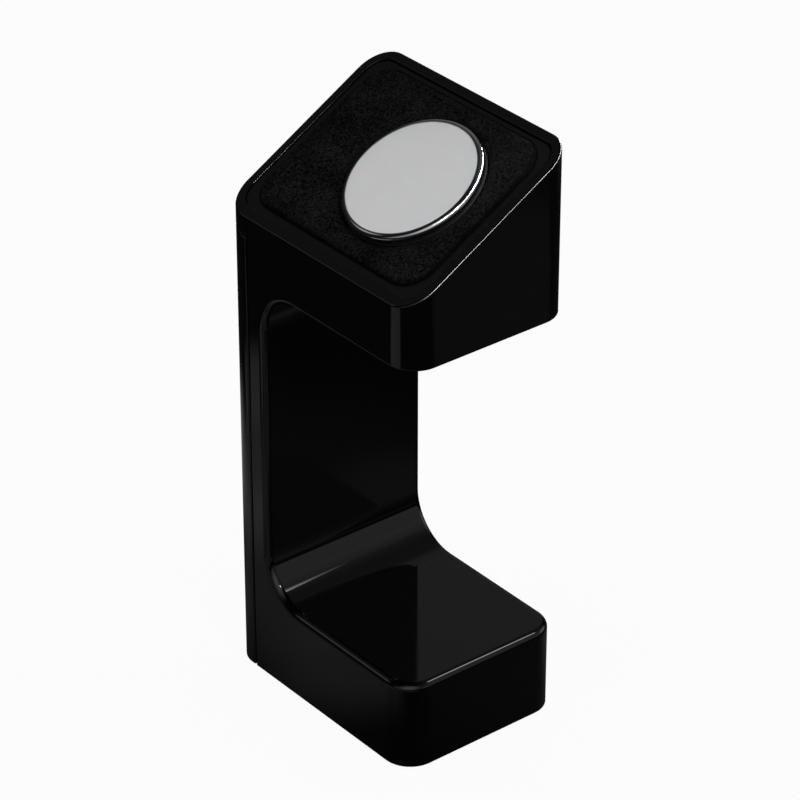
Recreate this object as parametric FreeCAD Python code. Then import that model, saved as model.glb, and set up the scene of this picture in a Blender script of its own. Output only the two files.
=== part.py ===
import FreeCAD, Part
import math
import os

from FreeCAD import Vector

# Smartwatch charging dock: a C-shaped stand moulded in gloss plastic, closed at the back by a
# cover that wraps round the rear corners. Its head is cut on a slant and carries a soft pad with
# a magnetic charging puck. Millimetres, +Z up. The user faces the dock from -Y, and the head
# rises away from them. The shapes are drawn with X = 0 at the column's back face, and save()
# moves them so that the origin is under the middle of the dock, on the table.

# Overall form of the stand, as wide as its puck and a margin on each side
puck_radius = 14.4
puck_side_margin = 5.1
base_length = 55.5
head_length = 56.5
corner_radius = 6.0
base_height = 19.6
column_depth = 12.0
inner_fillet = 10.0
gap_height = 70.0
head_front_height = 13.0
head_rise = 22.5
inner_edge_rounding = 1.5
crisp_edge_rounding = 0.4
wall = 2.0
rim_inner_rounding = 0.15
least_radius = 0.3

# Clearances
close_fit = 0.05
easy_fit = 0.12
plate_fit = 0.2

# Foot, base plate and ballast
foot_thickness = 1.5
shell_lift = 0.5
foot_edge_rounding = 0.4
base_plate_thickness = 2.0
ballast_width = 21.0
ballast_thickness = 7.0
ballast_corner_radius = 1.5
ballast_board_gap = 3.0
ballast_front_inset = 6.5
ballast_screw_inset = 5.0

# Bosses under the top of the base
base_boss_radius = 3.0
base_boss_rear_setback = 7.0
base_boss_front_inset = 6.5
base_boss_side_inset = 4.8

# Rear cover and its seam
cover_setback = 5.0
cover_drop = 4.0
seam_gap = 0.3
seam_rounding = 0.35
tab_first_height = 12.0
tab_spacing = 24.0
tab_width = 7.0
tab_thickness = 1.3
tab_root_length = 3.0
tab_tip_gap = 0.4
barb_height = 0.5
barb_length = 1.3
barb_setback = 0.2

# Tray in the head, under the rim
tray_drop = 0.25
tray_thickness = 2.2
pad_recess = 0.4
tray_post_radius = 3.4
tray_post_rear_setback = 6.0
tray_post_front_inset = 7.5
tray_post_low_inset = 6.5
tray_post_high_inset = 5.9
tray_post_land = 0.3
tray_seat_thickness = 1.6
tray_screw_pocket_radius = 2.3

# Watch pad
pad_inset = 3.7
pad_corner_radius = 6.0
pad_proud = 0.85
pad_edge_rounding = 0.6
pad_hole_gap = 0.35

# Charging puck, measured along its own axis from the plane of the rim
puck_end_margin = 7.85
puck_proud = 2.6
puck_wall = 0.7
puck_edge_rounding = 1.0
puck_lip_width = 0.4
puck_lip_thickness = 0.6
puck_flange_width = 1.3
puck_flange_thickness = 0.8
face_thickness = 1.6
face_dish = 0.6
face_sink = 0.1
coil_inner_radius = 5.2
coil_margin = 1.3
coil_thickness = 0.8
ferrite_margin = 0.5
ferrite_thickness = 0.8
magnet_radius = 4.4
magnet_thickness = 1.6
puck_board_thickness = 0.8
puck_back_thickness = 0.7
puck_back_rim_width = 1.0
chip_height = 0.55

# Retainer ring that clamps the puck's flange against the tray
retainer_width = 3.7
retainer_thickness = 1.6
lug_radius = 2.1
lug_gap = 0.45
lug_angles = (15.0, 155.0, 205.0, 345.0)

# Charging lead in the column
lead_radius = 1.2
lead_drop = 2.95
lead_start_inset = 5.0
lead_boss_gap = 0.6
lead_boss_overlap = 2.0
lead_boss_wall = 1.0
bend_share = 0.45
lead_boss_half_width = 2.6
lead_low_y = 7.8
lead_jog_from_clip = 12.0
clip_setback = 2.0
clip_rise = 4.0
clip_thickness = 1.6
clip_half_width = 3.2
presser_half_width = 2.5

# Inlet board, its socket and the lead's connector
board_rear_gap = 0.9
board_front_x = 20.0
board_low_y = -10.0
board_high_y = 11.0
board_standoff = 3.2
board_thickness = 1.2
board_post_radius = 2.2
board_posts = ((5.2, -7.5), (18.0, -7.0), (18.0, 7.0))
socket_width = 8.94
socket_height = 3.16
socket_wall = 0.3
socket_length = 7.4
socket_setback = 0.6
tongue_width = 6.7
tongue_thickness = 0.7
tongue_setback = 0.9
tongue_root = 1.0
tongue_block_length = 1.5
slot_end_share = 0.999
inlet_recess_margin = 1.7
header_length = 5.0
header_width = 5.0
header_height = 4.5
header_wall = 0.6
header_floor = 1.2
plug_height = 6.0
lead_end_depth = 2.4
controller_size = 4.0
controller_height = 0.9
controller_place = (13.0, -3.0)
choke_size = 4.0
choke_height = 2.4
choke_corner_radius = 0.8
choke_place = (13.0, 3.5)
capacitor_radius = 1.8
capacitor_height = 4.5
capacitor_places = ((17.0, 1.2), (17.0, -2.8))
puck_chip_size = 4.0
puck_part_length = 2.5
puck_part_width = 1.6
puck_part_places = ((5.8, -2.75), (5.8, 2.75))

# Screws, each with its pilot hole
base_screw_radius = 1.25
base_screw_length = 9.0
base_screw_head_radius = 2.3
base_screw_head_height = 1.1
base_pilot_radius = base_screw_radius + close_fit
base_pilot_depth = 9.0
tray_screw_radius = 1.25
tray_screw_length = 6.5
tray_screw_head_radius = 2.1
tray_screw_head_height = 1.2
tray_pilot_radius = tray_screw_radius + close_fit
tray_pilot_depth = 6.5
retainer_screw_radius = 0.75
retainer_screw_length = 3.6
retainer_screw_head_radius = 1.5
retainer_screw_head_height = 0.8
retainer_pilot_radius = retainer_screw_radius + close_fit
retainer_pilot_cap = 0.5
board_screw_radius = 0.9
board_screw_length = 4.0
board_screw_head_radius = 1.7
board_screw_head_height = 0.8
board_pilot_radius = board_screw_radius + close_fit
board_pilot_depth = 3.6

# Sizes that follow from the driving ones
half_width = puck_radius + puck_side_margin
width = 2 * half_width
head_underside = base_height + gap_height
head_low_edge = head_underside + head_front_height
head_high_edge = head_low_edge + head_rise
shell_bottom = shell_lift
plate_bottom = foot_thickness
plate_top = plate_bottom + base_plate_thickness
web_start = head_underside - inner_fillet
head_floor = head_underside + wall
tilt = math.atan2(head_high_edge - head_low_edge, width)
rim_middle_height = (head_low_edge + head_high_edge) / 2
head_middle_x = head_length / 2
column_inner_x = column_depth - wall
cover_depth = column_depth - cover_setback
far = 4 * head_high_edge

base_boss_rear_x = cover_depth + base_boss_rear_setback
base_boss_front_x = base_length - base_boss_front_inset
base_boss_y = half_width - base_boss_side_inset
board_rear_x = wall + board_rear_gap
ballast_low_x = board_front_x + ballast_board_gap
ballast_high_x = base_length - ballast_front_inset

tray_top = -tray_drop
pad_seat = tray_top - pad_recess
tray_underside = tray_top - tray_thickness
flange_bottom = tray_underside - puck_flange_thickness
retainer_bottom = flange_bottom - retainer_thickness
puck_offset = head_middle_x - puck_radius - puck_end_margin
flange_radius = puck_radius + puck_flange_width
retainer_inner_radius = flange_radius - retainer_width
lug_circle_radius = flange_radius + lug_radius + lug_gap
tray_post_drop = -tray_underside / math.cos(tilt) + tray_post_radius * math.tan(tilt) + tray_post_land
tray_seat_drop = tray_post_drop - tray_seat_thickness
tray_post_rear_x = cover_depth + tray_post_rear_setback
tray_post_front_x = head_length - tray_post_front_inset
lead_level = flange_bottom - lead_drop
puck_bore = puck_radius - puck_wall
puck_lip_radius = puck_bore - puck_lip_width
coil_outer_radius = puck_bore - coil_margin
ferrite_radius = puck_bore - ferrite_margin
face_underside = puck_proud - puck_lip_thickness - face_thickness + face_sink
coil_underside = face_underside - coil_thickness
ferrite_underside = coil_underside - ferrite_thickness
magnet_underside = face_underside - magnet_thickness
puck_board_underside = magnet_underside - puck_board_thickness
board_bottom = plate_top + board_standoff
board_top = board_bottom + board_thickness
socket_middle_height = board_top + socket_height / 2
plug_top = board_top + header_floor + plug_height
slant = FreeCAD.Placement(
    Vector(head_middle_x, 0, rim_middle_height),
    FreeCAD.Rotation(Vector(1, 0, 0), math.degrees(tilt)),
)
lead_x = column_depth / 2
lead_high_y = slant.multVec(Vector(0, 0, lead_level)).y
upper_clip = web_start - clip_setback
lower_clip = base_height + inner_fillet + clip_rise
clip_heights = (upper_clip, lower_clip)
lead_jog_top = upper_clip - lead_jog_from_clip
lead_jog_bottom = lower_clip + lead_jog_from_clip

Z_AXIS = Vector(0, 0, 1)
X_AXIS = Vector(1, 0, 0)


# Small helpers

def point_xz(x, z, y=-half_width):
    return Vector(x, y, z)


def box(x_low, x_high, y_low, y_high, z_low, z_high):
    return Part.makeBox(x_high - x_low, y_high - y_low, z_high - z_low, Vector(x_low, y_low, z_low))


def cylinder(x, y, z_low, z_high, radius):
    return Part.makeCylinder(radius, z_high - z_low, Vector(x, y, z_low))


def rounded_prism(x_low, x_high, y_low, y_high, radius, z_low, z_high):
    """An upright prism on a rectangle with round corners."""
    corners = (
        (x_high - radius, y_high - radius, 0),
        (x_low + radius, y_high - radius, 90),
        (x_low + radius, y_low + radius, 180),
        (x_high - radius, y_low + radius, 270),
    )
    arcs = []
    for x, y, start in corners:
        circle = Part.Circle(Vector(x, y, z_low), Z_AXIS, radius)
        arcs.append(circle.toShape(math.radians(start), math.radians(start + 90)))
    edges = []
    for arc, following in zip(arcs, arcs[1:] + arcs[:1]):
        edges.append(arc)
        edges.append(Part.makeLine(arc.Vertexes[-1].Point, following.Vertexes[0].Point))
    return Part.Face(Part.Wire(edges)).extrude(Vector(0, 0, z_high - z_low))


def plan_prism(length, inset, z_low, z_high):
    """The dock's plan outline, drawn in by inset, as an upright prism."""
    radius = max(corner_radius - inset, least_radius)
    edge_y = half_width - inset
    return rounded_prism(inset, length - inset, -edge_y, edge_y, radius, z_low, z_high)


def across(edges):
    """A side profile, extruded over the whole width."""
    return Part.Face(Part.Wire(edges)).extrude(Vector(0, width, 0))


def chain(points):
    """Straight edges through the points."""
    return [Part.makeLine(a, b) for a, b in zip(points, points[1:])]


def turned(points):
    """A solid of revolution about Z from a list of radius and height."""
    corners = [Vector(radius, 0, height) for radius, height in points]
    face = Part.Face(Part.Wire(chain(corners + corners[:1])))
    return face.revolve(Vector(0, 0, 0), Z_AXIS, 360)


def ring(outer, inner, z_low, z_high):
    return turned([(inner, z_low), (outer, z_low), (outer, z_high), (inner, z_high)])


def on_slant(shape):
    """Moves a shape drawn about the middle of the rim's plane onto that plane."""
    placed = shape.copy()
    placed.Placement = slant.multiply(shape.Placement)
    return placed


def on_puck_axis(shape):
    """Moves a shape drawn about the puck's axis onto the slanted plane."""
    moved = shape.copy()
    moved.translate(Vector(puck_offset, 0, 0))
    return on_slant(moved)


def above_slant(level):
    """Everything over a plane parallel to the rim, at this level above it."""
    return on_slant(Part.makeBox(far, far, far, Vector(-far / 2, -far / 2, level)))


def rim_height_at(y):
    return rim_middle_height + y * math.tan(tilt)


def outline_y(x):
    """Half the dock's width at this distance from its back."""
    if x >= corner_radius:
        return half_width
    return half_width - corner_radius + math.sqrt(corner_radius ** 2 - (corner_radius - x) ** 2)


def edges_where(shape, test):
    """The shape's edges whose middle point passes the test."""
    return [edge for edge in shape.Edges if test(edge.valueAt(middle_parameter(edge)))]


def middle_parameter(edge):
    return (edge.FirstParameter + edge.LastParameter) / 2


def near(value, target, tolerance=0.01):
    return abs(value - target) < tolerance


def screw(x, y, seat, shank_length, shank_radius, head_radius, head_height, upwards):
    """A pan-head screw with a cross recess, its head's underside at seat."""
    tip = shank_length - shank_radius
    profile = [
        (0, -head_height),
        (head_radius * 0.75, -head_height),
        (head_radius, -head_height * 0.45),
        (head_radius, 0),
        (shank_radius, 0),
        (shank_radius, tip),
        (shank_radius * 0.3, shank_length),
        (0, shank_length),
    ]
    solid = turned(profile)
    depth = head_height * 0.5
    slot = shank_radius * 0.4
    reach = head_radius * 0.55
    solid = solid.cut(box(-reach, reach, -slot / 2, slot / 2, -head_height, depth - head_height))
    solid = solid.cut(box(-slot / 2, slot / 2, -reach, reach, -head_height, depth - head_height))
    if not upwards:
        solid.rotate(Vector(0, 0, 0), X_AXIS, 180)
    solid.translate(Vector(x, y, seat))
    return solid


def save(name, shape):
    """Writes one node, moved so that the origin is under the middle of the dock."""
    moved = shape.copy()
    moved.translate(Vector(-head_middle_x, 0, 0))
    solids = moved.Solids
    whole = solids[0] if len(solids) == 1 else Part.makeCompound(solids)
    whole.exportStep(os.path.join("parts", name + ".step"))
    volume = sum(solid.Volume for solid in solids)
    print(f"{name:18s} solids {len(solids)}  volume {volume:10.2f} mm3  valid {whole.isValid()}")


# The stand's outer form and its hollow

def lower_profile(inset, z_low):
    """Side profile of base and column up to where the upper fillet starts."""
    top = base_height - inset
    front = column_depth - inset
    fillet_x = column_depth + inner_fillet
    fillet_z = base_height + inner_fillet
    reach = (inner_fillet + inset) / math.sqrt(2)
    start = point_xz(fillet_x, top)
    middle = point_xz(fillet_x - reach, fillet_z - reach)
    finish = point_xz(front, fillet_z)
    along = [point_xz(inset, z_low), point_xz(base_length - inset, z_low)]
    along += [point_xz(base_length - inset, top), start]
    back = [finish, point_xz(front, web_start), point_xz(inset, web_start), along[0]]
    return chain(along) + [Part.Arc(start, middle, finish).toShape()] + chain(back)


def web_profile(inset, z_high):
    """Side profile of the column's top, which spreads into the head's underside."""
    front = column_depth - inset
    fillet_x = column_depth + inner_fillet
    reach = (inner_fillet + inset) / math.sqrt(2)
    start = point_xz(front, web_start)
    middle = point_xz(fillet_x - reach, web_start + reach)
    finish = point_xz(fillet_x, head_underside + inset)
    back = [finish, point_xz(fillet_x, z_high), point_xz(inset, z_high), point_xz(inset, web_start), start]
    return [Part.Arc(start, middle, finish).toShape()] + chain(back)


def lower_form():
    """Base and column, with the soft rounding that runs round the top of the base."""
    form = across(lower_profile(0, shell_bottom))
    form = form.common(plan_prism(base_length, 0, shell_bottom, web_start))
    rounded = edges_where(form, lambda p: near(p.x, base_length) and near(p.z, base_height))
    return form.makeFillet(inner_edge_rounding, rounded)


def web_form():
    """The column's top, where the soft rounding narrows to the head's crisp edge."""
    form = across(web_profile(0, head_floor))
    form = form.common(plan_prism(head_length, 0, web_start, head_floor))

    def is_side_arc(p):
        on_side = near(abs(p.y), half_width)
        return on_side and column_depth < p.x < column_depth + inner_fillet and p.z < head_underside

    for side in (-1, 1):
        arc = edges_where(form, lambda p: is_side_arc(p) and p.y * side > 0)
        starts_low = arc[0].Vertexes[0].Z < arc[0].Vertexes[-1].Z
        sizes = (inner_edge_rounding, crisp_edge_rounding)
        first, last = sizes if starts_low else sizes[::-1]
        form = form.makeFillet(first, last, arc)
    return form


def head_form():
    """The head, cut on the slant, with crisp edges at its top and underside."""
    form = plan_prism(head_length, 0, head_underside, far).cut(above_slant(0))
    low = edges_where(form, lambda p: near(p.x, head_length) and near(p.z, head_underside))
    form = form.makeFillet(crisp_edge_rounding, low)
    high = edges_where(form, lambda p: near(p.x, head_length) and near(p.z, rim_height_at(p.y)))
    return form.makeFillet(crisp_edge_rounding, high)


def stand_hollow():
    """The space inside the walls, open under the base and at the top of the head."""
    lower = across(lower_profile(wall, -far))
    lower = lower.common(plan_prism(base_length, wall, -far, web_start))
    web = across(web_profile(wall, head_floor + wall))
    web = web.common(plan_prism(head_length, wall, web_start, head_floor + wall))
    head = plan_prism(head_length, wall, head_floor, far)
    return lower.fuse([web, head])


def cover_zone(gap):
    """The back of the dock, which belongs to the rear cover and the seam round it."""
    zone = box(-far, cover_depth + gap, -far, far, -far, far)
    return zone.cut(above_slant(gap - cover_drop))


def soften_seam(shape, x, level):
    """Rounds the outer edges along the seam."""

    def on_seam(p):
        if p.x < -least_radius or p.x > x + least_radius:
            return False
        at_side = near(p.x, x)
        at_top = near((p.z - rim_height_at(p.y)) * math.cos(tilt), level)
        at_back = near(p.x, 0)
        outside = at_back or near(abs(p.y), outline_y(max(p.x, 0)))
        return outside and (at_side or at_top)

    return shape.makeFillet(seam_rounding, edges_where(shape, on_seam))


# Moulded details inside the shell

def base_bosses(form):
    """Screw bosses that hang from the top of the base."""
    bosses = []
    for x in (base_boss_rear_x, base_boss_front_x):
        for y in (-base_boss_y, base_boss_y):
            bosses.append(cylinder(x, y, plate_top, base_height + inner_fillet, base_boss_radius))
    return [boss.common(form) for boss in bosses]


def base_screw_places():
    places = []
    for x in (base_boss_rear_x, base_boss_front_x):
        places += [(x, -base_boss_y), (x, base_boss_y)]
    return places


def tray_post_places():
    """Each post's centre and the height of its flat end."""
    places = []
    for x in (tray_post_rear_x, tray_post_front_x):
        for y in (tray_post_low_inset - half_width, half_width - tray_post_high_inset):
            seat = rim_height_at(y) - tray_seat_drop
            places.append((x, y, seat, seat - tray_seat_thickness))
    return places


def lead_clip(height, y):
    """A block with an open slot that takes the lead, on the column's front wall."""
    half = clip_thickness / 2
    low, high = y - clip_half_width, y + clip_half_width
    block = box(lead_x - lead_radius, column_inner_x + wall / 2, low, high, height - half, height + half)
    slot = lead_radius + close_fit
    mouth = box(lead_x - 2 * lead_radius, lead_x, y - slot, y + slot, height - half, height + half)
    seat = cylinder(lead_x, y, height - half, height + half, slot)
    return block.cut(mouth).cut(seat)


def lead_y_at(height):
    return lead_high_y if height > lead_jog_top else lead_low_y


def soften_loop(shape, level, inset):
    """Rounds the edge that a plan outline, drawn in by inset, leaves on a slanted face."""

    def on_loop(p):
        at_level = near((p.z - rim_height_at(p.y)) * math.cos(tilt), level)
        from_side = half_width - abs(p.y)
        from_end = min(p.x, head_length - p.x)
        on_side = near(from_side, inset) or near(from_end, inset)
        radius = corner_radius - inset
        corner = math.hypot(corner_radius - from_side, corner_radius - from_end)
        in_corner = from_side < corner_radius and from_end < corner_radius and near(corner, radius)
        return at_level and (on_side or in_corner)

    return shape.makeFillet(rim_inner_rounding, edges_where(shape, on_loop))


def make_stand_shell(form, hollow):
    shell = form.cut(hollow).cut(cover_zone(seam_gap))
    shell = soften_seam(shell, cover_depth + seam_gap, seam_gap - cover_drop)
    shell = soften_loop(shell, 0, wall)
    details = base_bosses(form)
    for x, y, _, post_end in tray_post_places():
        details.append(cylinder(x, y, web_start, post_end, tray_post_radius).common(form))
    for height in clip_heights:
        details.append(lead_clip(height, lead_y_at(height)))
    shell = shell.fuse(details)
    for x, y in base_screw_places():
        shell = shell.cut(cylinder(x, y, plate_bottom, plate_top + base_pilot_depth, base_pilot_radius))
    for x, y, _, post_end in tray_post_places():
        shell = shell.cut(cylinder(x, y, post_end - tray_pilot_depth, post_end + 1, tray_pilot_radius))
    for height in tab_heights():
        for side in (-1, 1):
            shell = shell.cut(tab_pocket(height, side))
    return shell.removeSplitter()


# The rear cover

def tab_heights():
    """As many tabs as the cover's lower side has room for."""
    cover_low_top = head_low_edge - cover_drop / math.cos(tilt)
    steps = int((cover_low_top - tab_width / 2 - tab_first_height) / tab_spacing)
    return [tab_first_height + step * tab_spacing for step in range(steps + 1)]


def tab_inner_y():
    return half_width - wall - easy_fit - tab_thickness


def tab_tip_x():
    return column_inner_x - tab_tip_gap


def snap_tab(height, side):
    """A tongue that enters the shell and catches in its wall."""
    low_y = tab_inner_y()
    high_y = low_y + tab_thickness
    root_x = cover_depth - tab_root_length
    half = tab_width / 2
    tongue = box(root_x, tab_tip_x(), low_y, high_y, height - half, height + half)
    root = box(root_x, cover_depth, low_y, half_width - wall / 2, height - half, height + half)
    tip = tab_tip_x() - barb_setback
    corners = [
        Vector(tip, high_y, height - half),
        Vector(tip - barb_length, high_y + barb_height, height - half),
        Vector(tip - barb_length, high_y, height - half),
    ]
    barb = Part.Face(Part.Wire(chain(corners + corners[:1]))).extrude(Vector(0, 0, tab_width))
    tab = tongue.fuse([root, barb])
    return tab if side > 0 else tab.mirror(Vector(0, 0, 0), Vector(0, 1, 0))


def tab_pocket(height, side):
    """The blind pocket in the shell's side wall that takes a tab's barb."""
    half = tab_width / 2 + plate_fit
    tip = tab_tip_x() - barb_setback + plate_fit
    inside = half_width - wall
    low_x = tip - barb_length - 2 * plate_fit
    pocket = box(low_x, tip, inside - wall / 4, inside + barb_height, height - half, height + half)
    return pocket if side > 0 else pocket.mirror(Vector(0, 0, 0), Vector(0, 1, 0))


def inlet_slot(margin, depth_low, depth_high):
    """A slot along X about the middle of the charging inlet, its ends all but full rounds."""
    half_y = socket_width / 2 + margin
    half_z = socket_height / 2 + margin
    radius = half_z * slot_end_share
    slot = rounded_prism(-half_z, half_z, -half_y, half_y, radius, depth_low, depth_high)
    slot.rotate(Vector(0, 0, 0), Vector(0, 1, 0), 90)
    slot.translate(Vector(0, 0, socket_middle_height))
    return slot


def make_back_cover(form, hollow):
    cover = form.cut(hollow).common(cover_zone(0))
    cover = soften_seam(cover, cover_depth, -cover_drop)
    details = []
    for height in tab_heights():
        for side in (-1, 1):
            details.append(snap_tab(height, side))
    for height in clip_heights:
        y = lead_y_at(height)
        low, high = y - presser_half_width, y + presser_half_width
        half = clip_thickness / 2
        tip = lead_x - lead_radius - close_fit
        details.append(box(wall / 2, tip, low, high, height - half, height + half))
    cover = cover.fuse(details)
    cover = cover.cut(inlet_slot(inlet_recess_margin, -1, socket_setback))
    cover = cover.cut(inlet_slot(plate_fit, -1, 2 * wall))
    return cover.removeSplitter()


# Under the base

def make_base_plate():
    inset = wall + plate_fit
    plate = plan_prism(base_length, inset, plate_bottom, plate_top)
    posts = []
    for x, y in board_posts:
        posts.append(cylinder(x, y, plate_bottom, board_bottom, board_post_radius))
    plate = plate.fuse(posts)
    for x, y in board_posts:
        low = board_bottom - board_pilot_depth
        plate = plate.cut(cylinder(x, y, low, board_bottom + 1, board_pilot_radius))
    head_room = base_screw_head_height + close_fit
    for x, y in base_screw_places():
        plate = plate.cut(cylinder(x, y, 0, plate_top, base_screw_radius + easy_fit))
        plate = plate.cut(cylinder(x, y, 0, plate_bottom + head_room, base_screw_head_radius + plate_fit))
    for x, y in ballast_screw_places():
        plate = plate.cut(cylinder(x, y, 0, plate_top, base_screw_radius + easy_fit))
        plate = plate.cut(cylinder(x, y, 0, plate_bottom + head_room, base_screw_head_radius + plate_fit))
    return plate.removeSplitter()


def ballast_screw_places():
    return [(ballast_low_x + ballast_screw_inset, 0), (ballast_high_x - ballast_screw_inset, 0)]


def make_foot_pad():
    inset = wall + plate_fit
    pad = plan_prism(base_length, inset, 0, foot_thickness)
    lower = edges_where(pad, lambda p: near(p.z, 0))
    return pad.makeFillet(foot_edge_rounding, lower)


def make_ballast_plate():
    edge_y = ballast_width / 2
    top = plate_top + ballast_thickness
    radius = ballast_corner_radius
    plate = rounded_prism(ballast_low_x, ballast_high_x, -edge_y, edge_y, radius, plate_top, top)
    for x, y in ballast_screw_places():
        plate = plate.cut(cylinder(x, y, plate_top, top, base_pilot_radius))
    return plate


def base_screw(x, y):
    seat = plate_bottom + base_screw_head_height
    return screw(
        x, y, seat, base_screw_length, base_screw_radius,
        base_screw_head_radius, base_screw_head_height - close_fit, True,
    )


# The head's tray, its pad and their screws

def pad_outline(margin, radius_margin, w_low, w_high):
    """The pad's outline, drawn out by margin, as a prism square to the slant."""
    half_u = head_length / 2 - pad_inset + margin
    half_v = half_width / math.cos(tilt) - pad_inset + margin
    radius = pad_corner_radius + radius_margin
    return rounded_prism(-half_u, half_u, -half_v, half_v, radius, w_low, w_high)


def make_head_tray():
    outline = plan_prism(head_length, wall + easy_fit, head_floor, far)
    plate = outline.cut(above_slant(tray_top))
    plate = plate.common(above_slant(tray_underside))
    plate = soften_loop(plate, tray_top, wall + easy_fit)
    plate = plate.cut(on_slant(pad_outline(easy_fit, easy_fit, pad_seat, far)))
    under_pad = outline.cut(above_slant(pad_seat))
    for x, y, _, post_end in tray_post_places():
        post = cylinder(x, y, post_end, far, tray_post_radius).common(under_pad)
        plate = plate.fuse(post)
    lugs = []
    for x, y in lug_places():
        lugs.append(on_puck_axis(cylinder(x, y, flange_bottom, pad_seat, lug_radius)))
    plate = plate.fuse(lugs)
    plate = plate.cut(on_puck_axis(cylinder(0, 0, retainer_bottom, far, puck_radius + easy_fit)))
    for x, y, seat, _ in tray_post_places():
        plate = plate.cut(cylinder(x, y, seat, far, tray_screw_pocket_radius))
        plate = plate.cut(cylinder(x, y, head_underside, far, tray_screw_radius + easy_fit))
    for x, y in lug_places():
        pilot = cylinder(x, y, flange_bottom - 1, pad_seat - retainer_pilot_cap, retainer_pilot_radius)
        plate = plate.cut(on_puck_axis(pilot))
    return plate.removeSplitter()


def lug_places():
    places = []
    for angle in lug_angles:
        turn = math.radians(angle)
        places.append((lug_circle_radius * math.cos(turn), lug_circle_radius * math.sin(turn)))
    return places


def make_watch_pad():
    pad = pad_outline(0, 0, pad_seat, pad_proud)
    hole = cylinder(puck_offset, 0, pad_seat - 1, pad_proud + 1, puck_radius + pad_hole_gap)
    pad = pad.cut(hole)
    top = edges_where(pad, lambda p: near(p.z, pad_proud))
    return on_slant(pad.makeFillet(pad_edge_rounding, top))


# The charging puck, turned about its own axis

def make_puck_case():
    """A turned metal cup with a clamped flange and a lip over the face."""
    profile = [
        (puck_bore, flange_bottom),
        (flange_radius, flange_bottom),
        (flange_radius, tray_underside),
        (puck_radius, tray_underside),
        (puck_radius, puck_proud),
        (puck_lip_radius, puck_proud),
        (puck_lip_radius, puck_proud - puck_lip_thickness),
        (puck_bore, puck_proud - puck_lip_thickness),
    ]
    case = turned(profile)
    top = edges_where(case, lambda p: near(p.z, puck_proud) and near(math.hypot(p.x, p.y), puck_radius))
    return on_puck_axis(case.makeFillet(puck_edge_rounding, top))


def make_puck_face():
    """The pale face under the metal lip, hollowed to take the back of a watch."""
    body = puck_bore - close_fit
    nose = puck_lip_radius - close_fit
    shoulder = puck_proud - puck_lip_thickness
    top = puck_proud - face_sink
    face = turned([
        (0, face_underside), (body, face_underside), (body, shoulder),
        (nose, shoulder), (nose, top), (0, top),
    ])
    ball_radius = (nose * nose + face_dish * face_dish) / (2 * face_dish)
    ball = Part.makeSphere(ball_radius, Vector(0, 0, top - face_dish + ball_radius))
    return on_puck_axis(face.cut(ball))


def make_puck_back():
    """Closes the case from below, holds the board and leads the cable in from the side."""
    body = puck_bore - close_fit
    rim = body - puck_back_rim_width
    floor = flange_bottom + puck_back_thickness
    back = turned([
        (0, flange_bottom), (body, flange_bottom), (body, puck_board_underside),
        (rim, puck_board_underside), (rim, floor), (0, floor),
    ])
    start = lead_boss_overlap - lead_start_inset
    end = lead_boss_gap - retainer_inner_radius
    half = lead_boss_half_width
    boss = box(end, start, -half, half, lead_level - lead_radius - lead_boss_wall, flange_bottom)
    back = back.fuse(boss)
    bore = Part.makeCylinder(lead_radius + close_fit, far, Vector(-lead_start_inset, 0, lead_level), -X_AXIS)
    return on_puck_axis(back.cut(bore).removeSplitter())


def make_retainer():
    """The ring under the tray that clamps the puck's flange."""
    body = ring(flange_radius, retainer_inner_radius, retainer_bottom, flange_bottom)
    for angle, (x, y) in zip(lug_angles, lug_places()):
        web_start_u = flange_radius - lug_radius
        web = box(web_start_u, lug_circle_radius, -lug_radius, lug_radius, retainer_bottom, flange_bottom)
        web.rotate(Vector(0, 0, 0), Z_AXIS, angle)
        body = body.fuse([web, cylinder(x, y, retainer_bottom, flange_bottom, lug_radius)])
    for x, y in lug_places():
        body = body.cut(cylinder(x, y, retainer_bottom, flange_bottom, retainer_screw_radius + easy_fit))
    return on_puck_axis(body.removeSplitter())


# The lead inside the column

def lead_points():
    """The lead's route, from the puck down to the plug on the inlet board."""
    start = slant.multVec(Vector(puck_offset - lead_start_inset, 0, lead_level))
    y = start.y
    return [
        start,
        Vector(lead_x, y, start.z),
        Vector(lead_x, y, lead_jog_top),
        Vector(lead_x, lead_low_y, lead_jog_bottom),
        Vector(lead_x, lead_low_y, plug_top - lead_end_depth),
    ]


def lead_path(points):
    """Straight runs joined by tangent arcs, each as large as its runs allow."""
    edges = []
    cursor = points[0]
    for before, corner, after in zip(points, points[1:], points[2:]):
        towards = (corner - before).normalize()
        away = (after - corner).normalize()
        turn = towards.getAngle(away)
        shorter = min(before.distanceToPoint(corner), corner.distanceToPoint(after))
        setback = bend_share * shorter
        radius = setback / math.tan(turn / 2)
        print(f"lead arc radius {radius:.1f} mm")
        first = corner - towards * setback
        last = corner + away * setback
        bisector = (away - towards).normalize()
        middle = corner + bisector * (radius / math.cos(turn / 2) - radius)
        edges.append(Part.makeLine(cursor, first))
        edges.append(Part.Arc(first, middle, last).toShape())
        cursor = last
    edges.append(Part.makeLine(cursor, points[-1]))
    return Part.Wire(edges)


def make_charging_lead():
    path = lead_path(lead_points())
    start = lead_points()[0]
    section = Part.Wire(Part.makeCircle(lead_radius, start, -X_AXIS))
    tube = path.makePipeShell([section], True, False)
    expected = math.pi * lead_radius ** 2 * path.Length
    print(f"lead length {path.Length:.1f} mm, volume {tube.Volume:.1f} of {expected:.1f} mm3")
    return tube


# The inlet board and what stands on it

def make_inlet_board():
    board = box(board_rear_x, board_front_x, board_low_y, board_high_y, board_bottom, board_top)
    for x, y in board_posts:
        board = board.cut(cylinder(x, y, board_bottom, board_top, board_screw_radius + easy_fit))
    for x, y in base_screw_places():
        board = board.cut(cylinder(x, y, board_bottom, board_top, base_boss_radius + plate_fit))
    return board


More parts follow.
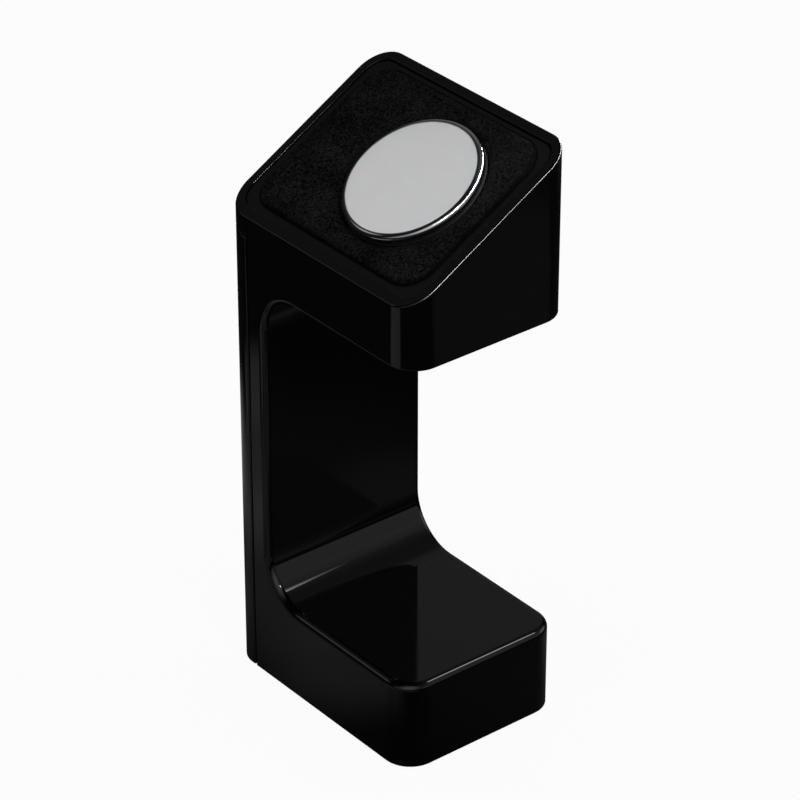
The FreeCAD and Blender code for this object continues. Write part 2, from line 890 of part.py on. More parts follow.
def make_inlet_socket():
    """The metal shell of the inlet, open towards the back of the dock."""
    front = socket_setback + socket_length
    outer = inlet_slot(0, socket_setback, front)
    return outer.cut(inlet_slot(-socket_wall, socket_setback - 1, front - socket_wall))


def make_socket_tongue():
    """The insulating tongue inside the inlet, on its block."""
    front = socket_setback + socket_length - socket_wall
    block = inlet_slot(-socket_wall - close_fit, front - tongue_block_length, front)
    half_y = tongue_width / 2
    half_z = tongue_thickness / 2
    low_z, high_z = socket_middle_height - half_z, socket_middle_height + half_z
    tongue = box(socket_setback + tongue_setback, front - tongue_root, -half_y, half_y, low_z, high_z)
    return block.fuse(tongue).removeSplitter()


def make_lead_header():
    """The open-topped header that takes the lead's plug."""
    x, y = lead_x, lead_low_y
    half_x, half_y = header_length / 2, header_width / 2
    outer = box(x - half_x, x + half_x, y - half_y, y + half_y, board_top, board_top + header_height)
    inner_x, inner_y = half_x - header_wall, half_y - header_wall
    floor = board_top + header_floor
    return outer.cut(box(x - inner_x, x + inner_x, y - inner_y, y + inner_y, floor, far))


def make_lead_plug():
    x, y = lead_x, lead_low_y
    half_x = header_length / 2 - header_wall - close_fit
    half_y = header_width / 2 - header_wall - close_fit
    plug = box(x - half_x, x + half_x, y - half_y, y + half_y, board_top + header_floor, plug_top)
    return plug.cut(cylinder(x, y, plug_top - lead_end_depth, plug_top + 1, lead_radius + close_fit))


def block(place, length_x, length_y, z_low, z_high):
    x, y = place
    return box(x - length_x / 2, x + length_x / 2, y - length_y / 2, y + length_y / 2, z_low, z_high)


def make_board_chips():
    """The controller, the choke and two capacitors on the inlet board."""
    top = board_top + controller_height
    bodies = [block(controller_place, controller_size, controller_size, board_top, top)]
    x, y = choke_place
    half = choke_size / 2
    top = board_top + choke_height
    bodies.append(rounded_prism(x - half, x + half, y - half, y + half, choke_corner_radius, board_top, top))
    for x, y in capacitor_places:
        bodies.append(cylinder(x, y, board_top, board_top + capacitor_height, capacitor_radius))
    return Part.makeCompound(bodies)


def make_puck_chips():
    """Small parts on the underside of the puck's board."""
    low, high = puck_board_underside - chip_height, puck_board_underside
    bodies = [block((0, 0), puck_chip_size, puck_chip_size, low, high)]
    for place in puck_part_places:
        bodies.append(block(place, puck_part_width, puck_part_length, low, high))
    return on_puck_axis(Part.makeCompound(bodies))


def main():
    os.makedirs("parts", exist_ok=True)
    form = lower_form().fuse([web_form(), head_form()]).removeSplitter()
    hollow = stand_hollow()
    save("stand_shell", make_stand_shell(form, hollow))
    save("back_cover", make_back_cover(form, hollow))
    save("base_plate", make_base_plate())
    save("foot_pad", make_foot_pad())
    save("ballast_plate", make_ballast_plate())
    save("base_screws", Part.makeCompound([base_screw(x, y) for x, y in base_screw_places()]))
    save("ballast_screws", Part.makeCompound([base_screw(x, y) for x, y in ballast_screw_places()]))
    save("head_tray", make_head_tray())
    tray_screws = []
    for x, y, seat, _ in tray_post_places():
        tray_screws.append(screw(
            x, y, seat, tray_screw_length, tray_screw_radius,
            tray_screw_head_radius, tray_screw_head_height, False,
        ))
    save("tray_screws", Part.makeCompound(tray_screws))
    save("watch_pad", make_watch_pad())
    save("puck_case", make_puck_case())
    save("puck_face", make_puck_face())
    coil = ring(coil_outer_radius, coil_inner_radius, coil_underside, face_underside)
    save("charging_coil", on_puck_axis(coil))
    ferrite = ring(ferrite_radius, coil_inner_radius, ferrite_underside, coil_underside)
    save("ferrite_ring", on_puck_axis(ferrite))
    magnet = cylinder(0, 0, magnet_underside, face_underside, magnet_radius)
    save("centre_magnet", on_puck_axis(magnet))
    board_radius = puck_bore - 2 * close_fit
    board = cylinder(0, 0, puck_board_underside, magnet_underside, board_radius)
    save("puck_board", on_puck_axis(board))
    save("puck_chips", make_puck_chips())
    save("puck_back", make_puck_back())
    save("puck_retainer", make_retainer())
    retainer_screws = []
    for x, y in lug_places():
        retainer_screws.append(on_puck_axis(screw(
            x, y, retainer_bottom, retainer_screw_length, retainer_screw_radius,
            retainer_screw_head_radius, retainer_screw_head_height, True,
        )))
    save("retainer_screws", Part.makeCompound(retainer_screws))
    save("charging_lead", make_charging_lead())
    save("lead_plug", make_lead_plug())
    save("lead_header", make_lead_header())
    save("inlet_board", make_inlet_board())
    save("board_chips", make_board_chips())
    board_screws = []
    for x, y in board_posts:
        board_screws.append(screw(
            x, y, board_top, board_screw_length, board_screw_radius,
            board_screw_head_radius, board_screw_head_height, False,
        ))
    save("board_screws", Part.makeCompound(board_screws))
    save("inlet_socket", make_inlet_socket())
    save("socket_tongue", make_socket_tongue())


main()
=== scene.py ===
import math

import bmesh
import bpy
from mathutils import Matrix, Vector, noise


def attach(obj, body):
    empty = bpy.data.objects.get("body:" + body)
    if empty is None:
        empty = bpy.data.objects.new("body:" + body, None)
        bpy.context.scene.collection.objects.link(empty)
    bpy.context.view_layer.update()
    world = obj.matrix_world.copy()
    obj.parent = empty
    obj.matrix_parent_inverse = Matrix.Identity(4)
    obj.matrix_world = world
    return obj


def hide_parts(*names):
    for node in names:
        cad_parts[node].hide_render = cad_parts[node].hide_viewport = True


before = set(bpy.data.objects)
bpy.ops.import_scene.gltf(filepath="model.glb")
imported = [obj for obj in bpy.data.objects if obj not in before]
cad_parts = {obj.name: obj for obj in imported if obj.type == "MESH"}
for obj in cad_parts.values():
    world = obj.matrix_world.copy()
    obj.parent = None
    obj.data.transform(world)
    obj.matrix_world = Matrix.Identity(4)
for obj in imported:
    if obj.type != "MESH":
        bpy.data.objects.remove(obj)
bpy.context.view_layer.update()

# A smartwatch charging dock: a tall C-shaped stand in gloss black plastic. Its slanted head
# carries a black suede pad and a round metal-rimmed charging puck.

scene = bpy.context.scene
mm = 0.001


# The head's slanted plane, on which the pad and the puck lie, in millimetres. It rises along Y
# across the head's width, and puck_along is the X of the puck's centre.

head_width = 39.0
head_low_edge = 102.6
head_high_edge = 125.1
head_middle = (head_low_edge + head_high_edge) / 2
puck_along = 6.0

tilt = math.atan2(head_high_edge - head_low_edge, head_width)
slant = Matrix.Translation((0, 0, head_middle * mm)) @ Matrix.Rotation(tilt, 4, "X")


# Colours and nodes

def linear(code):
    """A hex colour as it looks on a screen, as the linear RGBA that the shaders take."""
    channels = [int(code[place:place + 2], 16) / 255 for place in (1, 3, 5)]
    bent = [c / 12.92 if c <= 0.04045 else ((c + 0.055) / 1.055) ** 2.4 for c in channels]
    return (*bent, 1.0)


def add_node(tree, kind, links=None, values=None, **settings):
    """Adds a node with its settings, its sockets' own values and the sockets that feed it."""
    added = tree.nodes.new(kind)
    for name, value in settings.items():
        setattr(added, name, value)
    for name, value in (values or {}).items():
        added.inputs[name].default_value = value
    for name, source in (links or {}).items():
        tree.links.new(source, added.inputs[name])
    return added


def start_material(name, colour, roughness, **sockets):
    """A material with the constants of its shader set on the shader itself."""
    material = bpy.data.materials.new(name)
    material.use_nodes = True
    shader = material.node_tree.nodes["Principled BSDF"]
    shader.inputs["Base Color"].default_value = linear(colour)
    shader.inputs["Roughness"].default_value = roughness
    for socket, value in sockets.items():
        shader.inputs[socket.replace("_", " ")].default_value = value
    return material, material.node_tree, shader


def uneven_shine(tree, shader, pattern, low, high):
    """Lets a pattern move the roughness between two values."""
    shine = add_node(tree, "ShaderNodeMapRange", {"Value": pattern},
                     {"From Min": 0.2, "From Max": 0.8, "To Min": low, "To Max": high})
    tree.links.new(shine.outputs["Result"], shader.inputs["Roughness"])


def relief(tree, shader, pattern, strength, depth):
    """Lets a pattern raise the surface by a depth in millimetres."""
    bump = add_node(tree, "ShaderNodeBump", {"Height": pattern},
                    {"Strength": strength, "Distance": depth * mm})
    tree.links.new(bump.outputs["Normal"], shader.inputs["Normal"])


def uneven_tone(tree, shader, pattern, colour, dark, light):
    """Lets a pattern darken and lighten a colour a little."""
    tone = add_node(tree, "ShaderNodeMapRange", {"Value": pattern},
                    {"From Min": 0.0, "From Max": 1.0, "To Min": dark, "To Max": light})
    shade = add_node(tree, "ShaderNodeHueSaturation", {"Value": tone.outputs["Result"]},
                     {"Color": linear(colour)})
    tree.links.new(shade.outputs["Color"], shader.inputs["Base Color"])


def puck_radius_and_height(tree):
    """Sockets with the distance from the puck's axis and the height above the slanted plane."""
    place = add_node(tree, "ShaderNodeTexCoord").outputs["Object"]
    puck_centre = slant @ Vector((puck_along * mm, 0, 0))
    turned = add_node(tree, "ShaderNodeMapping", {"Vector": place},
                      {"Location": puck_centre, "Rotation": (tilt, 0, 0)}, vector_type="TEXTURE")
    parts = add_node(tree, "ShaderNodeSeparateXYZ", {"Vector": turned.outputs["Vector"]})
    flat = add_node(tree, "ShaderNodeCombineXYZ",
                    {"X": parts.outputs["X"], "Y": parts.outputs["Y"]})
    radius = add_node(tree, "ShaderNodeVectorMath", {"Vector": flat.outputs["Vector"]},
                      operation="LENGTH")
    return radius.outputs["Value"], parts.outputs["Z"]


# Finishes, with their patterns in real size. Noise scales are in patches per metre.

def moulded(name, colour, low, high, grain, depth, cloudy=0.3, **sockets):
    """Plastic or rubber with the grain of its mould, its size and depth in millimetres."""
    material, tree, shader = start_material(name, colour, high, **sockets)
    place = add_node(tree, "ShaderNodeTexCoord").outputs["Object"]
    pits = add_node(tree, "ShaderNodeTexNoise", {"Vector": place},
                    {"Scale": 1000 / grain, "Detail": 2.0}).outputs["Fac"]
    cloud = add_node(tree, "ShaderNodeTexNoise", {"Vector": place},
                     {"Scale": 120.0, "Detail": 3.0}).outputs["Fac"]
    uneven_shine(tree, shader, cloud, low, high)
    uneven_tone(tree, shader, cloud, colour, 1 - cloudy, 1 + cloudy)
    relief(tree, shader, pits, 0.5, depth)
    return material


def plated(name, colour, low, high, lines, **sockets):
    """Plated or drawn metal: faint lines along its length, and clouds in the plating."""
    material, tree, shader = start_material(name, colour, low, Metallic=1.0, **sockets)
    place = add_node(tree, "ShaderNodeTexCoord").outputs["Object"]
    along = add_node(tree, "ShaderNodeMapping", {"Vector": place}, {"Scale": lines})
    drawn = add_node(tree, "ShaderNodeTexNoise", {"Vector": along.outputs["Vector"]},
                     {"Scale": 1.0, "Detail": 3.0}).outputs["Fac"]
    cloud = add_node(tree, "ShaderNodeTexNoise", {"Vector": place},
                     {"Scale": 220.0, "Detail": 2.0}).outputs["Fac"]
    uneven_shine(tree, shader, drawn, low, high)
    uneven_tone(tree, shader, cloud, colour, 0.8, 1.15)
    relief(tree, shader, drawn, 0.25, 0.01)
    return material


def polished_abs():
    """Black ABS from a mirror-polished mould: deep black, clear reflections, a trace of flow."""
    material, tree, shader = start_material("polished_abs", "#030303", 0.06, IOR=1.53)
    place = add_node(tree, "ShaderNodeTexCoord").outputs["Object"]
    haze = add_node(tree, "ShaderNodeTexNoise", {"Vector": place},
                    {"Scale": 90.0, "Detail": 4.0}).outputs["Fac"]
    flow = add_node(tree, "ShaderNodeTexNoise", {"Vector": place},
                    {"Scale": 160.0, "Detail": 1.0}).outputs["Fac"]
    uneven_shine(tree, shader, haze, 0.045, 0.085)
    relief(tree, shader, flow, 0.02, 0.4)
    return material


def satin_abs():
    """Black ABS with a fine spark-eroded grain: the tray's edge shines duller than the rim."""
    return moulded("satin_abs", "#060607", 0.26, 0.36, grain=0.12, depth=0.004, IOR=1.53)


def textured_abs():
    """Matt black ABS with a coarser grain, on the plates that face down or inward."""
    return moulded("textured_abs", "#141415", 0.5, 0.66, grain=0.35, depth=0.06, IOR=1.53)


def black_rubber():
    """Matt rubber with a soft dusty bloom, so that the foot reads as soft against the ABS."""
    return moulded("black_rubber", "#1a1a1b", 0.72, 0.9, grain=0.5, depth=0.05, Sheen_Weight=0.15)


def flexible_jacket():
    """Black flexible lead jacket: soft broad shine along the bends."""
    return moulded("flexible_jacket", "#111112", 0.42, 0.56, grain=0.4, depth=0.02)


def moulding_compound():
    """Dark grey epoxy of the chips, with the fine speckle of its filler."""
    return moulded("moulding_compound", "#1f1f21", 0.55, 0.7, grain=0.1, depth=0.01)


def glass_filled_nylon():
    """Black glass-filled nylon of the inlet's tongue: a short-fibred, slightly silky skin."""
    return moulded("glass_filled_nylon", "#161617", 0.4, 0.6, grain=0.2, depth=0.02)


def natural_nylon():
    """Cream nylon of the connectors: light goes a little way in, so its edges look soft."""
    return moulded("natural_nylon", "#ddd6c3", 0.38, 0.5, grain=0.3, depth=0.01,
                   Subsurface_Weight=0.25, Subsurface_Scale=0.0008)


def sintered_ferrite():
    """Ferrite: dark grey ceramic with an open, stony grain."""
    return moulded("sintered_ferrite", "#3b3b3e", 0.6, 0.8, grain=0.18, depth=0.03)


def pale_polycarbonate():
    """Off-white polycarbonate of the puck's face: satin skin over a slightly clouded body."""
    return moulded("pale_polycarbonate", "#e0e1e2", 0.2, 0.3, grain=0.25, depth=0.004,
                   cloudy=0.03, IOR=1.58, Subsurface_Weight=0.2, Subsurface_Scale=0.0006)


def zinc_plate():
    """Zinc plating on screws and ballast: cool grey with a faint cloudy sheen."""
    return plated("zinc_plate", "#a6abb2", 0.28, 0.46, lines=(500.0, 2600.0, 2600.0))


def nickel_plate():
    """Nickel plating on the magnet: warm, bright and nearly smooth."""
    return plated("nickel_plate", "#bfb9ae", 0.14, 0.24, lines=(900.0, 900.0, 900.0))


def drawn_steel():
    """Drawn stainless steel of the inlet's shell, its lines running into the dock."""
    return plated("drawn_steel", "#b4b6b9", 0.2, 0.36, lines=(120.0, 4200.0, 4200.0))


def turned_steel():
    """Stainless steel of the puck: fine turning lines round a satin side and a bright lip."""
    material, tree, shader = start_material("turned_steel", "#c3c5c8", 0.3, Metallic=1.0)
    radius, height = puck_radius_and_height(tree)
    across = add_node(tree, "ShaderNodeCombineXYZ", {"X": radius, "Y": height})
    turning = add_node(tree, "ShaderNodeTexNoise", {"Vector": across.outputs["Vector"]},
                       {"Scale": 5200.0, "Detail": 2.0}).outputs["Fac"]
    # The lip is the edge above the side, where the turning has been polished away.
    lip = add_node(tree, "ShaderNodeMapRange", {"Value": height},
                   {"From Min": 1.15 * mm, "From Max": 1.45 * mm, "To Min": 1.0, "To Max": 0.0})
    rough = add_node(tree, "ShaderNodeMapRange", {"Value": turning},
                     {"From Min": 0.3, "From Max": 0.7, "To Min": 0.2, "To Max": 0.36})
    kept = add_node(tree, "ShaderNodeMath", {0: rough.outputs["Result"], 1: lip.outputs["Result"]},
                    operation="MULTIPLY")
    smooth = add_node(tree, "ShaderNodeMath", {0: kept.outputs["Value"]}, {1: 0.1},
                      operation="MAXIMUM")
    tree.links.new(smooth.outputs["Value"], shader.inputs["Roughness"])
    relief(tree, shader, turning, 0.2, 0.01)
    return material


def wound_copper():
    """Enamelled copper wire wound in rings: warm metal in fine turns under clear lacquer."""
    material, tree, shader = start_material("wound_copper", "#b5673c", 0.32, Metallic=1.0,
                                            Coat_Weight=0.6)
    radius = puck_radius_and_height(tree)[0]
    wire_pitch = 0.4
    turns = add_node(tree, "ShaderNodeMath", {0: radius}, {1: 2 * math.pi / (wire_pitch * mm)},
                     operation="MULTIPLY")
    wave = add_node(tree, "ShaderNodeMath", {0: turns.outputs["Value"]}, operation="SINE")
    crown = add_node(tree, "ShaderNodeMapRange", {"Value": wave.outputs["Value"]},
                     {"From Min": -1.0, "From Max": 1.0}).outputs["Result"]
    # Painted shade: the colour darkens in the grooves between the turns, following the relief.
    uneven_tone(tree, shader, crown, "#b5673c", 0.55, 1.05)
    relief(tree, shader, crown, 0.8, 0.08)
    return material


def solder_mask():
    """Green solder mask over copper tracks that show through as lighter, raised lines."""
    material, tree, shader = start_material("solder_mask", "#0f4a2c", 0.3, Coat_Weight=0.3)
    place = add_node(tree, "ShaderNodeTexCoord").outputs["Object"]
    # At a scale of 1000, the track and gap sizes are in millimetres.
    tracks = add_node(tree, "ShaderNodeTexBrick", {"Vector": place},
                      {"Color1": linear("#0f4a2c"), "Color2": linear("#0e4529"),
                       "Mortar": linear("#1d6b41"), "Scale": 1000.0, "Mortar Size": 0.12,
                       "Brick Width": 2.6, "Row Height": 0.8})
    tree.links.new(tracks.outputs["Color"], shader.inputs["Base Color"])
    relief(tree, shader, tracks.outputs["Fac"], 0.4, 0.02)
    return material


def microfibre_suede():
    """Black microfibre suede: soft nap that scatters light, in lighter and darker patches.

    Towards the pad's rolled edges, which lie lower over the slanted plane, the colour is darkened:
    painted shade.
    """
    material, tree, shader = start_material("microfibre_suede", "#0b0b0c", 0.92,
                                            Sheen_Weight=0.01, Sheen_Roughness=0.45,
                                            Specular_IOR_Level=0.02)
    place = add_node(tree, "ShaderNodeTexCoord").outputs["Object"]
    # Real tufts are about 0.1 mm. At 0.5 mm they show from arm's length.
    tufts = add_node(tree, "ShaderNodeTexNoise", {"Vector": place},
                     {"Scale": 2000.0, "Detail": 4.0, "Roughness": 0.7}).outputs["Fac"]
    brushed = add_node(tree, "ShaderNodeTexNoise", {"Vector": place},
                       {"Scale": 130.0, "Detail": 3.0}).outputs["Fac"]
    mixed = add_node(tree, "ShaderNodeMath", {0: brushed, 2: tufts}, {1: 0.25},
                     operation="MULTIPLY_ADD")
    shade = add_node(tree, "ShaderNodeValToRGB", {"Fac": mixed.outputs["Value"]})
    shade.color_ramp.elements[0].position = 0.53
    shade.color_ramp.elements[0].color = linear("#020202")
    shade.color_ramp.elements[1].position = 0.86
    shade.color_ramp.elements[1].color = linear("#262628")
    # Painted shade: the colour falls to a quarter towards the pad's foot, so that its rolled edges
    # look shaded.
    height = puck_radius_and_height(tree)[1]
    painted_edge_shade = add_node(tree, "ShaderNodeMapRange", {"Value": height},
                       {"From Min": 0.1 * mm, "From Max": 0.8 * mm, "To Min": 0.25, "To Max": 1.0})
    toned = add_node(tree, "ShaderNodeHueSaturation",
                     {"Color": shade.outputs["Color"], "Value": painted_edge_shade.outputs["Result"]})
    tree.links.new(toned.outputs["Color"], shader.inputs["Base Color"])
    relief(tree, shader, tufts, 0.6, 0.15)
    return material


# Which piece has which finish

finish_of_nodes = {
    polished_abs: ("stand_shell", "back_cover"),
    satin_abs: ("head_tray",),
    textured_abs: ("base_plate", "puck_back", "puck_retainer"),
    black_rubber: ("foot_pad",),
    flexible_jacket: ("charging_lead",),
    moulding_compound: ("puck_chips", "board_chips"),
    glass_filled_nylon: ("socket_tongue",),
    natural_nylon: ("lead_plug", "lead_header"),
    sintered_ferrite: ("ferrite_ring",),
    pale_polycarbonate: ("puck_face",),
    zinc_plate: ("ballast_plate", "base_screws", "ballast_screws", "tray_screws", "retainer_screws",
                 "board_screws"),
    nickel_plate: ("centre_magnet",),
    drawn_steel: ("inlet_socket",),
    turned_steel: ("puck_case",),
    wound_copper: ("charging_coil",),
    solder_mask: ("puck_board", "inlet_board"),
    microfibre_suede: ("watch_pad",),
}

for make_finish, names in finish_of_nodes.items():
    finish = make_finish()
    for name in names:
        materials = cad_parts[name].data.materials
        materials.clear()
        materials.append(finish)
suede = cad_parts["watch_pad"].data.materials[0]


def new_piece(name, shape, material):
    """An object in the scene with the mesh of a finished bmesh."""
    mesh = bpy.data.meshes.new(name)
    shape.to_mesh(mesh)
    shape.free()
    piece = bpy.data.objects.new(name, mesh)
    scene.collection.objects.link(piece)
    mesh.materials.append(material)
    return piece


# The suede pad: foam under microfibre, inflated a little so that it crowns between its edges.
# Its sizes are in millimetres. Cloth settles badly on a piece this small, so the pad is swollen
# at inflate_scale times its size.

pad_half_length = 24.55
pad_half_width = 18.81
pad_corner_radius = 6.0
pad_hole_radius = 14.75
pad_underside = -0.65
pad_top = 0.62
voxel_size = 0.42
cut_past = 1.0
glue_depth = 0.25
inflate_scale = 20.0
last_frame = 20
most_swell = 0.28
tuft_size = 0.5
tuft_height = 0.03


def pad_blank():
    """The pad's flat blank with rounded corners, still without the puck's hole."""
    blank = bmesh.new()
    bmesh.ops.create_cube(blank, size=2.0)
    for vertex in blank.verts:
        vertex.co.x *= pad_half_length
        vertex.co.y *= pad_half_width
        vertex.co.z = pad_top if vertex.co.z > 0 else pad_underside
    upright = [e for e in blank.edges if e.verts[0].co.z != e.verts[1].co.z]
    bmesh.ops.bevel(blank, geom=upright, offset=pad_corner_radius, affect="EDGES",
                    segments=14, profile=0.5, material=-1)
    return blank


def hole_plug():
    """The round plug that cuts the puck's hole, past both faces of the pad."""
    low, high = pad_underside - cut_past, pad_top + cut_past
    plug = bmesh.new()
    bmesh.ops.create_cone(plug, cap_ends=True, segments=96, radius1=pad_hole_radius,
                          radius2=pad_hole_radius, depth=high - low)
    bmesh.ops.translate(plug, vec=(puck_along, 0, (low + high) / 2), verts=plug.verts)
    return plug


def apply_modifiers(piece):
    """Bakes the piece's modifiers, a simulation's result too, into its mesh."""
    graph = bpy.context.evaluated_depsgraph_get()
    done = bpy.data.meshes.new_from_object(piece.evaluated_get(graph))
    piece.modifiers.clear()
    old = piece.data
    piece.data = done
    bpy.data.meshes.remove(old)


def make_pad():
    """Cuts and inflates the pad, roughens its nap and lays it on the slanted plane."""
    pad = new_piece("suede_pad", pad_blank(), suede)
    plug = new_piece("pad_plug", hole_plug(), suede)
    hole = pad.modifiers.new("hole", "BOOLEAN")
    hole.operation = "DIFFERENCE"
    hole.object = plug
    even = pad.modifiers.new("even", "REMESH")
    even.mode = "VOXEL"
    even.voxel_size = voxel_size
    apply_modifiers(pad)
    bpy.data.objects.remove(plug)
    inflate(pad)
    smooth = pad.modifiers.new("smooth", "SUBSURF")
    smooth.levels = smooth.render_levels = 1
    apply_modifiers(pad)
    outward = [vertex.normal.copy() for vertex in pad.data.vertices]
    for vertex, away in zip(pad.data.vertices, outward):
        vertex.co += away * tuft_height * noise.noise(vertex.co / tuft_size)
    pad.data.transform(slant @ Matrix.Scale(mm, 4))
    for face in pad.data.polygons:
        face.use_smooth = True
    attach(pad, "root")
    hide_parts("watch_pad")


def inflate(pad):
    """Swells the foam under its fabric by cloth pressure. The glued underside is held still."""
    rest = [vertex.co.copy() for vertex in pad.data.vertices]
    pad.data.transform(Matrix.Scale(inflate_scale * mm, 4))
    glued = pad.vertex_groups.new(name="glued")
    low = [i for i, co in enumerate(rest) if co.z < pad_underside + glue_depth]
    glued.add(low, 1.0, "REPLACE")
    cloth = pad.modifiers.new("cloth", "CLOTH")
    cloth.settings.quality = 6
    cloth.settings.mass = 0.3
    cloth.settings.use_pressure = True
    cloth.settings.uniform_pressure_force = 4.0
    cloth.settings.effector_weights.gravity = 0.0
    cloth.settings.vertex_group_mass = "glued"
    cloth.settings.tension_stiffness = 15.0
    cloth.settings.bending_stiffness = 1.0
    for frame_number in range(1, last_frame + 1):
        scene.frame_set(frame_number)
    apply_modifiers(pad)
    scene.frame_set(1)
    pad.data.transform(Matrix.Scale(1 / (inflate_scale * mm), 4))
    for vertex, start in zip(pad.data.vertices, rest):
        move = vertex.co - start
        if move.length > most_swell:
            vertex.co = start + move * (most_swell / move.length)


make_pad()


# Floor and room. Gloss black shows only what it mirrors, so both are white to the camera and, in
# reflections, dim with soft pools of light: on the floor by place, in the room by direction.

floor_pools = (
    # x, y, inner and outer radius in mm, brightness
    (-420.0, 330.0, 230.0, 330.0, 0.9),
    (-190.0, 160.0, 40.0, 110.0, 0.15),
    (0.0, 460.0, 120.0, 230.0, 0.15),
    (-110.0, 12.0, 10.0, 36.0, 0.15),
    (-108.0, -22.0, 14.0, 46.0, 0.17),
    (-112.0, -88.0, 6.0, 26.0, 0.14),
    (-80.0, -64.0, 10.0, 40.0, 0.13),
    (-50.0, -46.0, 12.0, 42.0, 0.08),
    (-11.0, -37.0, 6.0, 28.0, 0.075),
    (42.0, 32.0, 12.0, 58.0, 0.022),
    (20.0, 46.0, 6.0, 26.0, 0.035),
    (170.0, 120.0, 30.0, 70.0, 0.042),
    (-32.0, -185.0, 50.0, 70.0, 0.2),
    (-30.0, -105.0, 20.0, 50.0, 0.12),
    (20.0, -75.0, 18.0, 48.0, 0.12),
    (55.0, -125.0, 20.0, 50.0, 0.12),
    (85.0, -55.0, 15.0, 45.0, 0.12),
)
floor_dim = 0.012
floor_half_size = 6000.0
floor_drop = 0.02
floor_white_share = 0.95

room_pools = (
    # azimuth from +X, elevation, inner and outer half angle in degrees, brightness
    (141.0, 30.0, 14.0, 32.0, 0.14),
    (85.0, 58.0, 12.0, 40.0, 0.08),
    (34.0, 8.0, 8.0, 60.0, 0.31),
    (42.0, 36.0, 4.0, 18.0, 0.09),
    (72.0, 14.0, 6.0, 24.0, 0.8),
    (-138.0, 28.0, 4.0, 16.0, 0.48),
    (-166.0, 46.0, 8.0, 20.0, 0.062),
    (-39.0, 31.0, 8.0, 42.0, 0.8),
    (-74.0, 10.0, 10.0, 34.0, 0.32),
)
room_dim = 0.01
room_even = 0.48
room_white = (1.0, 1.0, 1.0, 1.0)


def pool_light(tree, pools, dim):
    """The brightness from pools, each given as its distance socket, inner, outer and level."""
    total = add_node(tree, "ShaderNodeValue").outputs["Value"]
    total.default_value = dim
    for apart, inner, outer, level in pools:
        pool = add_node(tree, "ShaderNodeMapRange", {"Value": apart},
                        {"From Min": inner, "From Max": outer, "To Min": level, "To Max": 0.0},
                        interpolation_type="SMOOTHSTEP")
        total = add_node(tree, "ShaderNodeMath", {0: pool.outputs["Result"], 1: total},
                         operation="ADD").outputs["Value"]
    return total


def by_ray(tree, others, glossy, camera_ray):
    """One shader for reflections, one for what the camera sees, and one for all other light."""
    ray = add_node(tree, "ShaderNodeLightPath")
    first = add_node(tree, "ShaderNodeMixShader",
                     {"Fac": ray.outputs["Is Glossy Ray"], 1: others, 2: glossy})
    second = add_node(tree, "ShaderNodeMixShader",
                      {"Fac": ray.outputs["Is Camera Ray"], 1: first.outputs[0], 2: camera_ray})
    return second.outputs[0]


def studio_floor():
    """White sweep under the dock that keeps its faint shadow."""
    material = bpy.data.materials.new("studio_floor")
    material.use_nodes = True
    tree = material.node_tree
    tree.nodes.clear()
    place = add_node(tree, "ShaderNodeTexCoord").outputs["Object"]
    pools = []
    for x, y, inner, outer, level in floor_pools:
        apart = add_node(tree, "ShaderNodeVectorMath", {0: place}, {1: (x * mm, y * mm, 0)},
                         operation="DISTANCE")
        pools.append((apart.outputs["Value"], inner * mm, outer * mm, level))
    glow = pool_light(tree, pools, floor_dim)
    mirrored = add_node(tree, "ShaderNodeEmission", {"Strength": glow})
    white = add_node(tree, "ShaderNodeEmission", values={"Strength": 1.0})
    paint = add_node(tree, "ShaderNodeBsdfDiffuse", values={"Color": linear("#f4f4f4")})
    seen = add_node(tree, "ShaderNodeMixShader", {1: paint.outputs[0], 2: white.outputs[0]},
                    {"Fac": floor_white_share})
    surface = by_ray(tree, paint.outputs[0], mirrored.outputs[0], seen.outputs[0])
    add_node(tree, "ShaderNodeOutputMaterial", {"Surface": surface})
    return material


def make_floor():
    """A wide floor, just below the dock's foot so that the two don't share a plane."""
    shape = bmesh.new()
    bmesh.ops.create_grid(shape, x_segments=1, y_segments=1, size=floor_half_size * mm)
    bmesh.ops.translate(shape, vec=(0, 0, -floor_drop * mm), verts=shape.verts)
    floor = new_piece("floor", shape, studio_floor())


def room_direction(azimuth, elevation):
    """The direction towards a place in the room, from its angles in degrees."""
    a, e = math.radians(azimuth), math.radians(elevation)
    return Vector((math.cos(a) * math.cos(e), math.sin(a) * math.cos(e), math.sin(e)))


def make_room():
    """The world: even light on matt surfaces, pools in mirrors, white behind the floor."""
    world = bpy.data.worlds.new("room")
    scene.world = world
    world.use_nodes = True
    tree = world.node_tree
    tree.nodes.clear()
    place = add_node(tree, "ShaderNodeTexCoord").outputs["Generated"]
    pools = []
    for azimuth, elevation, inner, outer, level in room_pools:
        along = add_node(tree, "ShaderNodeVectorMath", {0: place},
                         {1: room_direction(azimuth, elevation)}, operation="DOT_PRODUCT")
        apart = add_node(tree, "ShaderNodeMath", {0: along.outputs["Value"]}, operation="ARCCOSINE")
        pools.append((apart.outputs["Value"], math.radians(inner), math.radians(outer), level))
    glow = pool_light(tree, pools, room_dim)
    mirrored = add_node(tree, "ShaderNodeBackground", {"Strength": glow}, {"Color": room_white})
    even = add_node(tree, "ShaderNodeBackground",
                    values={"Color": room_white, "Strength": room_even})
    white = add_node(tree, "ShaderNodeBackground",
                     values={"Color": room_white, "Strength": 1.0})
    surface = by_ray(tree, even.outputs[0], mirrored.outputs[0], white.outputs[0])
    add_node(tree, "ShaderNodeOutputWorld", {"Surface": surface})


# Softboxes for the bright lines along the rounded edges

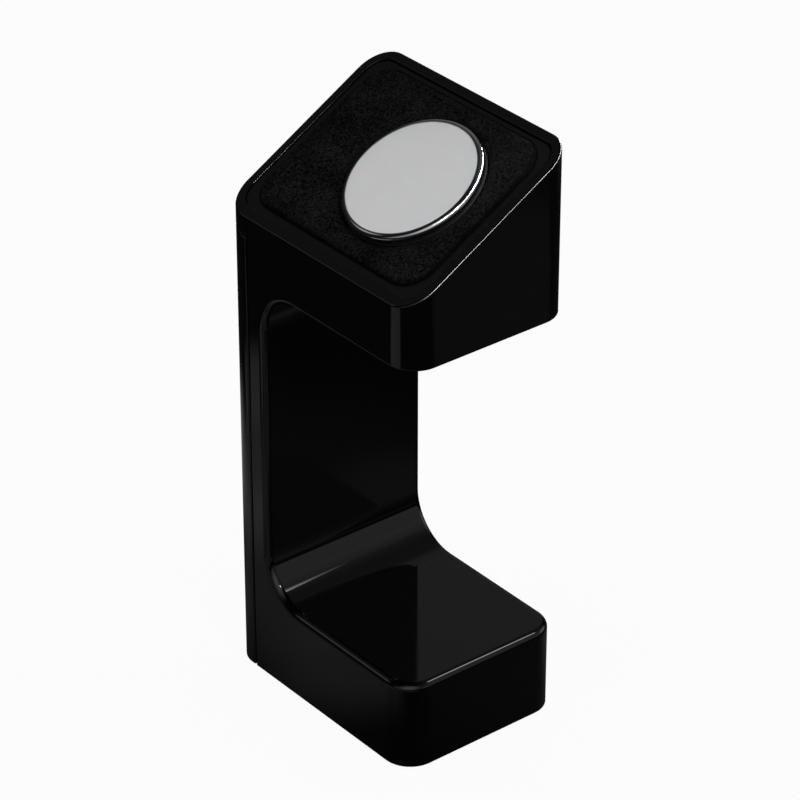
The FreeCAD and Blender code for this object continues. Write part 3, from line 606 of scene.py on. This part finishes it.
def softbox(name, aim, away, distance, width, height, spread, power):
    """A rectangular lamp with a grid, so that only what lies near its aim mirrors it.

    Its aim, distance and sizes are in millimetres and its spread in degrees. It stands from its
    aim in the direction `away`.
    """
    lamp = bpy.data.lights.new(name, "AREA")
    lamp.shape = "RECTANGLE"
    lamp.size = width * mm
    lamp.size_y = height * mm
    lamp.spread = math.radians(spread)
    lamp.energy = power
    holder = bpy.data.objects.new(name, lamp)
    scene.collection.objects.link(holder)
    holder.location = (Vector(aim) + away * distance) * mm
    holder.rotation_euler = (-away).to_track_quat("-Z", "Y").to_euler()
    return holder


view_direction = Vector((0.670, -0.537, 0.512)).normalized()

# The centre and radius of the head's front corners in plan, in millimetres
rim_corner = Vector((22.25, 13.5))
rim_corner_radius = 6.0

# Each lamp's turn from +X in degrees. Power falls to nothing at near_fade round the near corner.
near_turns = range(-24, 0, 6)
far_turns = range(5, 71, 5)
near_fade = 26.0
corner_power = 0.0005


def light_rim_corners():
    """An arc of small softboxes that carries the rim's bright line on round its far corner.

    Four weaker ones let the line fade at the near corner. They show in reflections alone and add
    no light to the matt pad.
    """
    up = slant.to_3x3() @ Vector((0, 0, 1))
    for turn in (*near_turns, *far_turns):
        side = room_direction(turn, 0.0)
        x = rim_corner.x + rim_corner_radius * side.x
        y = math.copysign(rim_corner.y, turn) + rim_corner_radius * side.y
        aim = (x, y, head_middle + y * math.tan(tilt))
        edge = (side + up).normalized()
        away = 2 * edge.dot(view_direction) * edge - view_direction
        power = corner_power * min(1.0, 1.0 + turn / near_fade)
        lamp = softbox(f"corner_softbox_{turn % 360}", aim, away, distance=150.0,
                       width=18.5, height=30.0, spread=10.0, power=power)
        lamp.visible_diffuse = False


make_floor()
make_room()
softbox("rim_softbox", aim=(27.0, 0.0, 113.0), away=room_direction(-12.0, 43.0),
        distance=300.0, width=64.0, height=64.0, spread=12.0, power=0.0054)
softbox("edge_softbox", aim=(27.0, 0.0, 19.0), away=room_direction(58.0, 51.0),
        distance=130.0, width=30.0, height=90.0, spread=18.0, power=0.0005)
light_rim_corners()


# Camera at the photograph's angle

camera = bpy.data.cameras.new("camera")
camera.sensor_width = 36.0
camera.lens = 169.18
camera.clip_start = 0.05
viewer = bpy.data.objects.new("camera", camera)
scene.collection.objects.link(viewer)
viewer.location = (0.488, -0.391, 0.4325)
viewer.rotation_euler = (math.radians(59.5613), 0.0, math.radians(51.2256))
scene.camera = viewer

scene.view_settings.view_transform = "Standard"
